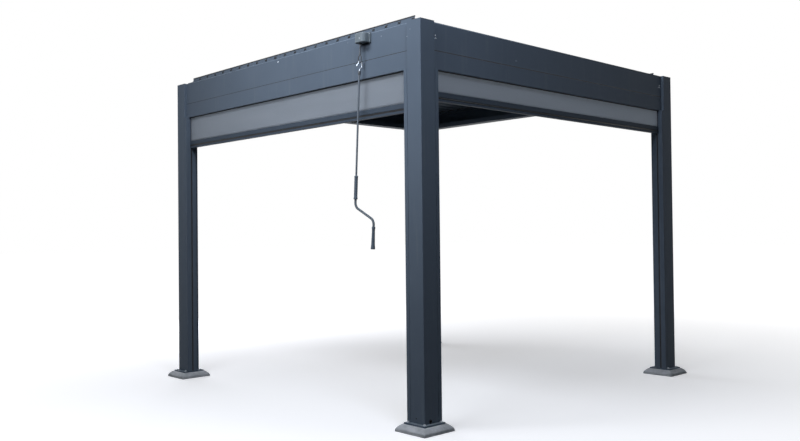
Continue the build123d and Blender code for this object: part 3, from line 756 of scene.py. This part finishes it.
class PERGOLA_OT_gearbox(bpy.types.Operator):
    """Makes the gearbox: a base on the beam, a bulging cover, its bush, its plug and its screws"""

    bl_idname = "pergola.gearbox"
    bl_label = "Gearbox"

    def execute(self, context):
        low, high = box_mm("gearbox")
        middle, wall, tall = (low.x + high.x) / 2, high.y, high.z - low.z
        base_middle, base_width, base_depth, base_corner = middle + 4, 106, 16, 4
        cover_middle, cover_width, cover_depth, cover_corner = middle + 2, 94, 66, 30
        bm = bmesh.new()
        levels = [(0, 1.6), (0.5, 0.5), (1.6, 0), (tall - 1.6, 0), (tall - 0.5, 0.5), (tall, 1.6)]
        loft(bm, [self.outline(base_middle, wall, base_width, base_depth, base_corner, inset, low.z + z)
                  for z, inset in levels])
        levels = [(0, 4), (1.2, 1.5), (3.5, 0), (15, 0), (15.6, 0.6), (17, 0.6), (17.6, 0), (56, 0)]
        levels += [(56 + 7 * math.sin(a), 7 - 7 * math.cos(a)) for a in (0.35, 0.7, 1.05, 1.32, math.pi / 2)]
        loft(bm, [self.outline(cover_middle, wall, cover_width, cover_depth, cover_corner, inset, low.z + z)
                  for z, inset in levels])
        frame_piece("gearbox_housing", bm, "housing_polyamide", "gearbox_plastic", "gearbox", angle=32)
        shaft = Vector(CRANK["pos_m"]) / MM
        foot = shaft.x + (low.z - shaft.z) * math.tan(math.radians(CRANK_LEAN))
        bm = bmesh.new()
        lathe(bm, [(-5, 6), (-5, 11), (-3.5, 12.5), (2, 13.5), (2, 6)], closed=True)
        bm.transform(Matrix.Translation(Vector((foot, shaft.y, low.z)) * MM))
        frame_piece("gearbox_bush", bm, "black_polyamide", "gearbox_plastic", angle=40)
        plug = [(-0.4, 6.4, 0), (0.6, 6.4, 0), (1.8, 5.2, 0), (2, 3.4, 0), (0.9, 2.4, 6), (0.8, 0.3, 6)]
        places = [((middle + 15, low.y, low.z + 25), (0, -1, 0))]
        fixings("gearbox_plug", plug, places, seed=6, sides=20)
        head = [(-0.4, 3.6, 0), (0.5, 3.6, 0), (1.4, 2.9, 0), (1.6, 1.9, 0), (0.5, 1.4, 6), (0.4, 0.3, 6)]
        places = [((base_middle + side * 50, wall - base_depth, low.z + z), (0, -1, 0))
                  for side in (-1, 1) for z in (12, 55)]
        fixings("gearbox_screws", head, places, seed=4, sides=12)
        return {"FINISHED"}

    def outline(self, middle, wall, width, depth, radius, inset, z):
        """A plan outline against the beam with two rounded front corners, drawn in by an inset."""
        half, front, round_by = width / 2 - inset, depth - inset, max(radius - inset, 0.5)
        points = [(middle - half, wall, z)]
        for side in (-1, 1):
            for i in range(13):
                a = math.radians(7.5 * (i if side < 0 else 12 - i))
                points.append((
                    middle + side * (half - round_by + round_by * math.cos(a)),
                    wall - (front - round_by + round_by * math.sin(a)),
                    z,
                ))
        return points + [(middle + half, wall, z)]


class PERGOLA_OT_fixings(bpy.types.Operator):
    """Sets the anchor bolts, the frame's screws and plugs, the rainwater outlet's rim and the pin bushes"""

    bl_idname = "pergola.fixings"
    bl_label = "Bolts, screws and bushes"

    def execute(self, context):
        sizes = context.scene.pergola_sizes
        self.anchor_bolts(sizes.washer / MM, sizes.bolt_head / MM)
        self.screws(sizes.screw_head / MM)
        self.foot()
        self.bushes(sizes.bush / MM)
        return {"FINISHED"}

    def anchor_bolts(self, washer, flats):
        """Four bolts with washers round each post, on its base plate."""
        top = box_mm("base_plates")[1].z
        bolts = []
        for name in ("post_front_left", "post_front_right", "post_back_left", "post_back_right"):
            low, high = box_mm(name)
            x, y = (low.x + high.x) / 2, (low.y + high.y) / 2
            bolts += [((x + sx * ANCHOR_REACH, y + sy * ANCHOR_REACH, top), (0, 0, 1))
                      for sx in (-1, 1) for sy in (-1, 1)]
        anchor = [(0, washer, 0), (1.4, washer, 0), (1.8, washer - 0.5, 0), (1.8, flats - 0.6, 6), (2.2, flats, 6),
                  (6.6, flats, 6), (7.2, flats - 1, 6), (7.2, 3.6, 0), (8.6, 3.2, 0)]
        fixings("anchor_bolts", anchor, bolts, seed=7)

    def screws(self, wide):
        """The screws in the fascias and the near post, the bright plug, and the screws of the beams' joints."""
        head = [(-0.4, wide, 0), (0.6, wide, 0), (1.8, 0.78 * wide, 0), (2.1, 0.55 * wide, 0), (0.8, 0.4 * wide, 6),
                (0.7, 0.1 * wide, 6)]
        front, top = box_mm("beam_front")[0].y, box_mm("beam_front")[1].z
        right, post = box_mm("beam_right")[1].x, box_mm("post_front_right")[0].y
        screws = [((x, front, top - drop), (0, -1, 0)) for x, drop in ((789, 24), (1123, 39))]
        screws += [((right, -559, top - 130), (1, 0, 0))]
        screws += [((x, post, top - drop), (0, -1, 0)) for x, drop in ((1383, 92), (1410, 51))]
        fixings("frame_screws", head, screws, "coated_screw", seed=2, sides=12)
        plug = [(z, 1.5 * radius, corners) for z, radius, corners in head]
        places = [((-20, front, top - 23), (0, -1, 0))]
        fixings("beam_plug", plug, places, seed=8, sides=16)
        joints = [((right, side * (1350 - 5 * i), top - 79 - 16 * i), (1, 0, 0))
                  for side in (-1, 1) for i in (0, 1)]
        joints += [((-x, y, z), (-1, 0, 0)) for (x, y, z), _ in joints]
        fixings("joint_screws", head, joints, seed=3, sides=12)

    def foot(self):
        """The rim of the rainwater outlet and the plug in the small hole, at the foot of the front right post."""
        low, high = box_mm("post_front_right")
        bm = bmesh.new()
        lathe(bm, [(-6, 9.2), (-6, 9.8), (0, 9.8), (0, 12), (0.7, 12), (1.1, 11.6), (1.1, 9.2)], 32, closed=True)
        outlet = Matrix.Translation(Vector((high.x, low.y + 50, low.z + 14)) * MM)
        bm.transform(outlet @ Matrix.Rotation(math.pi / 2, 4, "Y"))
        frame_piece("outlet_rim", bm, "black_polyamide", "grip_plastic", angle=40)
        plug = [(-0.2, 4.6, 0), (0.5, 4.6, 0), (0.9, 4.1, 0), (0.9, 3, 0), (0.3, 2.6, 0), (0.3, 0.4, 0)]
        places = [((low.x + 50.5, low.y, low.z + 29), (0, -1, 0))]
        fixings("foot_plug", plug, places, "black_polyamide", "grip_plastic", seed=5, sides=20)

    def bushes(self, wide):
        """A black bush round each blade's pin, at the inner faces of both rails."""
        inner = box_mm("pivot_rail_front")[1].y
        bush = [(0, wide, 0), (1.6, wide, 0), (2, wide - 0.6, 0), (2, 5.6, 0)]
        places = [((pivot_x(i), side * inner, PIVOT_Z), (0, -side, 0))
                  for i in range(len(BLADE_NODES)) for side in (1, -1)]
        fixings("pin_bushes", bush, places, "black_polyamide", "grip_plastic", seed=1, sides=16)


class PERGOLA_OT_seals(bpy.types.Operator):
    """Puts on the blades' strips and lips, the brushes, the guides' covers and the bars' caps, the beams' beads in
    a painted highlight, and near-black strips and pads of painted shade in the blades' notches, the beams' grooves
    and under the housings
    """

    bl_idname = "pergola.seals"
    bl_label = "Seals and covers"

    def execute(self, context):
        gap = context.scene.pergola_sizes.seal_gap / MM
        for number, name in enumerate(BLADE_NODES):
            self.blade_strips_and_notch_shade(number, name, RIM_LEFT + BLADE_PITCH - gap)
        for side, proud, half in (("front", -0.3, 1.8), ("right", 0.3, 2.4)):
            self.groove_shade_strip(side, proud, half)
            self.beam_edge_highlight(side)
            self.housing_gap_shade(side)
            self.guide_covers(side)
            self.guide_brushes(side)
            self.bar_caps(side)
        self.back_brush()
        return {"FINISHED"}

    def blade_strips_and_notch_shade(self, number, name, far):
        """A black strip along the top of each end rim, a lip that closes the gap to the next blade's rim, and a
        black pad below the lip: painted shade that darkens the notch between two blades.
        """
        seals, lips = bmesh.new(), bmesh.new()
        x, clipped = pivot_x(number), (1431.4, 1424.6)
        self.rim_plates(seals, x, (RIM_LEFT, RIM_RIGHT), (47, RIM_TOP + 2), clipped, grow=0.6)
        self.rim_plates(seals, x, (RIM_RIGHT, far), (47, RIM_TOP + 2), clipped)
        # Painted shade: a black pad that fills the notch below the lip, where the gap between the blades lies in
        # shade
        self.rim_plates(seals, x, (RIM_RIGHT, far), (30.5, 41), (1429, 1426))
        self.rim_plates(lips, x, (RIM_RIGHT, far), (41, RIM_TOP), (1430, 1426))
        keep(from_bmesh("blade_seal_" + name[-2:], seals, "black_rubber_and_painted_shade"), name, "grip_plastic")
        keep(from_bmesh("blade_lip_" + name[-2:], lips, "blade_powder_coat"), name, "blade_coat")

    def rim_plates(self, bm, pivot, feet, heights, reach, grow=0):
        """A plate at each end of a blade that leans with its rim, between two feet, heights and distances out."""
        (near, far), (low, high) = feet, heights
        corners = ((near, low, -grow), (far, low, grow), (far, high, grow), (near, high, -grow))
        outline = [(pivot + foot + RIM_SLOPE * (z - RIM_FOOT) + out, z) for foot, z, out in corners]
        for end in (-1, 1):
            loft(bm, [[(x, end * y, PIVOT_Z + z) for x, z in outline] for y in reach])

    def groove_shade_strip(self, side, proud, half):
        """A near-black strip in the groove between a beam and the screen's housing below it: painted shade that
        darkens the groove's line.
        """
        ends, face, (bottom, _) = side_box("beam_" + side, side)
        bm = bmesh.new()
        slab(bm, side, ends, face, (proud, -2.2), (bottom - half, bottom + half))
        frame_piece("joint_seal_" + side, bm)

    def beam_edge_highlight(self, side):
        """The slim raised bead along the top of an outer fascia, where dust settles, coated lighter than the frame
        as a painted highlight for the light that the top edge catches.
        """
        ends, face, (_, top) = side_box("beam_" + side, side)
        bm = bmesh.new()
        slab(bm, side, ends, face, (0.5, -1.5), (top - 4.5, top + 0.4))
        bmesh.ops.bevel(bm, geom=bm.edges, offset=0.3 * MM, segments=1, affect="EDGES")
        frame_piece("beam_arris_" + side, bm, "edge_highlight_powder_coat", "frame_coat", angle=50)

    def housing_gap_shade(self, side):
        """A black strip below a screen's housing, just in front of the cloth's outer face: painted shade for the
        dark gap under the housing.
        """
        (left, right), face, _ = side_box("screen_fabric_" + side, side)
        bottom = box_mm("screen_box_" + side)[0].z
        bm = bmesh.new()
        slab(bm, side, (left + 9, right - 9), face, (2.5, 5), (bottom - 6, bottom + 1))
        frame_piece("box_lip_" + side, bm)

    def guide_covers(self, side):
        """A snap-on cover over each guide's outer face, flush with the posts, with a fine joint beside the post."""
        ends, face, (bottom, _) = side_box("screen_guides_" + side, side)
        reach = abs(side_box("post_front_right", side)[1] - face) - 0.5
        # Not box_mm: the sharp edges at the bevel's end hang on the last bit of this height
        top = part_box("screen_box_" + side)[0].z / MM
        bm = bmesh.new()
        for edge, end in zip(ends, (-1, 1)):
            slab(bm, side, (edge - end, edge - end * GUIDE_WIDTH), face, (0, reach), (bottom, top))
        bmesh.ops.bevel(bm, geom=bm.edges, offset=1.2 * MM, segments=2, affect="EDGES")
        frame_piece("guide_covers_" + side, bm, "frame_powder_coat", "frame_coat", angle=40)

    def guide_brushes(self, side):
        """Two black brush strips in each guide's slot, that wipe the cloth on both faces."""
        ends, _, (bottom, top) = side_box("screen_guides_" + side, side)
        across = side_axes(side)[1]
        middle = sum(corner[across] for corner in box_mm("screen_fabric_" + side)) / 2
        bm = bmesh.new()
        for edge, end in zip(ends, (-1, 1)):
            slot = edge - end * GUIDE_WIDTH
            strip = (slot + end * 0.5, slot + end * 5)
            for face in (-1, 1):
                slab(bm, side, strip, middle, (face * 7, face * 2.4), (bottom + 2, top))
        frame_piece("guide_brushes_" + side, bm)

    def bar_caps(self, side):
        """Moulded caps on the ends of a bottom bar, and the dark weight cover in its groove."""
        low, high = box_mm("screen_bar_" + side)
        ends, face, (bottom, top) = side_box("screen_bar_" + side, side)
        across = side_axes(side)[1]
        thick = high[across] - low[across]
        bm = bmesh.new()
        for edge, end in zip(ends, (-1, 1)):
            slab(bm, side, (edge, edge + end * 2), face, (-0.6, 0.6 - thick), (bottom + 0.6, top - 0.6))
        bmesh.ops.bevel(bm, geom=bm.edges, offset=0.5 * MM, segments=2, affect="EDGES")
        slab(bm, side, (ends[0] + 1, ends[1] - 1), face, (-2, -7.8), (bottom + 14.5, bottom + 27.5))
        frame_piece("bar_caps_" + side, bm, "black_polyamide", "grip_plastic", angle=40)

    def back_brush(self):
        """A black brush along the back rail that closes the slot above it, clear of the blades' ends and pins."""
        rail = box_mm("pivot_rail_back")[0].y
        left, right = box_mm(BLADE_NODES[0])[0].x, box_mm(BLADE_NODES[-1])[1].x
        bm = bmesh.new()
        block(bm, (left, rail - 10, PIVOT_Z + 8), (right, rail, PIVOT_Z + 11))
        block(bm, (left, rail - 12, PIVOT_Z + 8), (right, rail - 9, PIVOT_Z + 27))
        frame_piece("back_brush", bm)


class PERGOLA_OT_plinths(bpy.types.Operator):
    """Casts the four concrete plinths, with worn arrises and small chips"""

    bl_idname = "pergola.plinths"
    bl_label = "Concrete plinths"

    def execute(self, context):
        low, high = box_mm("concrete_plinths")
        centre = (high.x - low.x) / 2 - PLINTH_LEVELS[0][1]
        bm = bmesh.new()
        for sx in (-1, 1):
            for sy in (-1, 1):
                self.cast(bm, sx * centre, sy * centre)
        frame_piece("plinths_cast", bm, "cast_concrete", "concrete", "concrete_plinths", angle=50)
        return {"FINISHED"}

    def cast(self, bm, x, y):
        """One block: rings from its underside to its top, worn back by noise where an edge runs."""
        count = 44
        rings = []
        for z, half, wear in PLINTH_LEVELS:
            outline = []
            for i in range(4 * count):
                side, step = divmod(i, count)
                t = 2 * step / count - 1
                px, py = ((t, -1), (1, t), (-t, 1), (-1, -t))[side]
                edge = abs(t) ** 14
                place = Vector((x + px * half, y + py * half, z)) / 26
                rough = noise.noise(place) + 0.5 * noise.noise(place * 3.1)
                chip = max(0.0, noise.noise(place * 0.9 + Vector((7, 3, 1))) - 0.42) * 14
                cut = wear * (0.6 + 0.7 * rough) + chip * (wear > 1.3) + edge * wear * 1.6
                scale = (half - max(0.0, cut)) / half
                outline.append((x + px * half * scale, y + py * half * scale, z))
            rings.append(outline)
        loft(bm, rings)


class PERGOLA_OT_stage(bpy.types.Operator):
    """Sets up the floor, the lamps and the camera at the photograph's angle"""

    bl_idname = "pergola.stage"
    bl_label = "Stage, light and camera"

    def execute(self, context):
        self.floor()
        for values in LAMPS:
            self.lamp(*values)
        self.surrounding(context)
        self.camera(context)
        return {"FINISHED"}

    def floor(self):
        """A wide plain floor at the plinths' underside."""
        bm = bmesh.new()
        bmesh.ops.create_grid(bm, x_segments=1, y_segments=1, size=60)
        floor = from_bmesh("studio_floor", bm, "stage_floor")

    def lamp(self, name, place, target, size, power, tone, beam):
        """A wide soft lamp aimed at a point, which the camera doesn't see."""
        light = bpy.data.lights.new(name, "AREA")
        light.shape = "RECTANGLE"
        light.size, light.size_y = size
        light.energy = power
        light.spread = math.radians(beam)
        light.color = linear(tone)[:3]
        lamp = bpy.data.objects.new(name, light)
        lamp.location = place
        lamp.rotation_euler = (Vector(target) - Vector(place)).to_track_quat("-Z", "Y").to_euler()
        lamp.visible_camera = False
        bpy.context.scene.collection.objects.link(lamp)

    def surrounding(self, context):
        """A world that is white where it is seen and lights the object dimly."""
        world = bpy.data.worlds.new("studio_surrounding")
        tree = cleared(world)
        level = spread(tree, seen_directly(tree), 0.0, 1.0, WORLD_LIGHT, 1.0)
        sky = add_node(tree, "ShaderNodeBackground", {"Color": (1, 1, 1, 1), "Strength": level})
        add_node(tree, "ShaderNodeOutputWorld", {"Surface": sky.outputs[0]})
        context.scene.world = world

    def camera(self, context):
        """The photograph's camera, and the view transform that the colours are matched in."""
        turn, rise, roll = (math.radians(a) for a in (CAMERA_TURN, CAMERA_RISE, CAMERA_ROLL))
        back = Vector((math.sin(turn) * math.cos(rise), -math.cos(turn) * math.cos(rise), math.sin(rise)))
        level = Vector((math.cos(turn), math.sin(turn), 0.0))
        upright = back.cross(level)
        right = level * math.cos(roll) + upright * math.sin(roll)
        up = upright * math.cos(roll) - level * math.sin(roll)
        data = bpy.data.cameras.new("photo_camera")
        data.lens, data.sensor_width = CAMERA_LENS, CAMERA_SENSOR
        data.clip_end = 200
        camera = bpy.data.objects.new("photo_camera", data)
        facing = Matrix((right, up, back)).transposed().to_4x4()
        camera.matrix_world = Matrix.Translation(CAMERA_PLACE) @ facing
        context.scene.collection.objects.link(camera)
        context.scene.camera = camera
        context.scene.view_settings.view_transform = "Standard"


class PERGOLA_PT_panel(bpy.types.Panel):
    """Lists the pergola's pieces, sizes and colours"""

    bl_label = "Pergola"
    bl_idname = "PERGOLA_PT_panel"
    bl_space_type = "VIEW_3D"
    bl_region_type = "UI"
    bl_category = "Pergola"

    def draw(self, context):
        for operator in OPERATORS:
            self.layout.operator(operator.bl_idname)
        for group in (context.scene.pergola_sizes, context.scene.pergola_colours):
            for name in type(group).__annotations__:
                self.layout.prop(group, name)


OPERATORS = (
    PERGOLA_OT_coat,
    PERGOLA_OT_screens,
    PERGOLA_OT_crank,
    PERGOLA_OT_gearbox,
    PERGOLA_OT_fixings,
    PERGOLA_OT_seals,
    PERGOLA_OT_plinths,
    PERGOLA_OT_stage,
)
CLASSES = (PergolaSizes, PergolaColours) + OPERATORS + (PERGOLA_PT_panel,)


def register():
    for cls in CLASSES:
        bpy.utils.register_class(cls)
    bpy.types.Scene.pergola_sizes = bpy.props.PointerProperty(type=PergolaSizes)
    bpy.types.Scene.pergola_colours = bpy.props.PointerProperty(type=PergolaColours)


def unregister():
    del bpy.types.Scene.pergola_colours
    del bpy.types.Scene.pergola_sizes
    for cls in reversed(CLASSES):
        bpy.utils.unregister_class(cls)


def main():
    """Makes every piece in order."""
    register()
    bpy.ops.pergola.coat()
    bpy.ops.pergola.screens()
    bpy.ops.pergola.crank()
    bpy.ops.pergola.gearbox()
    bpy.ops.pergola.fixings()
    bpy.ops.pergola.seals()
    bpy.ops.pergola.plinths()
    bpy.ops.pergola.stage()


if __name__ == "__main__":
    main()
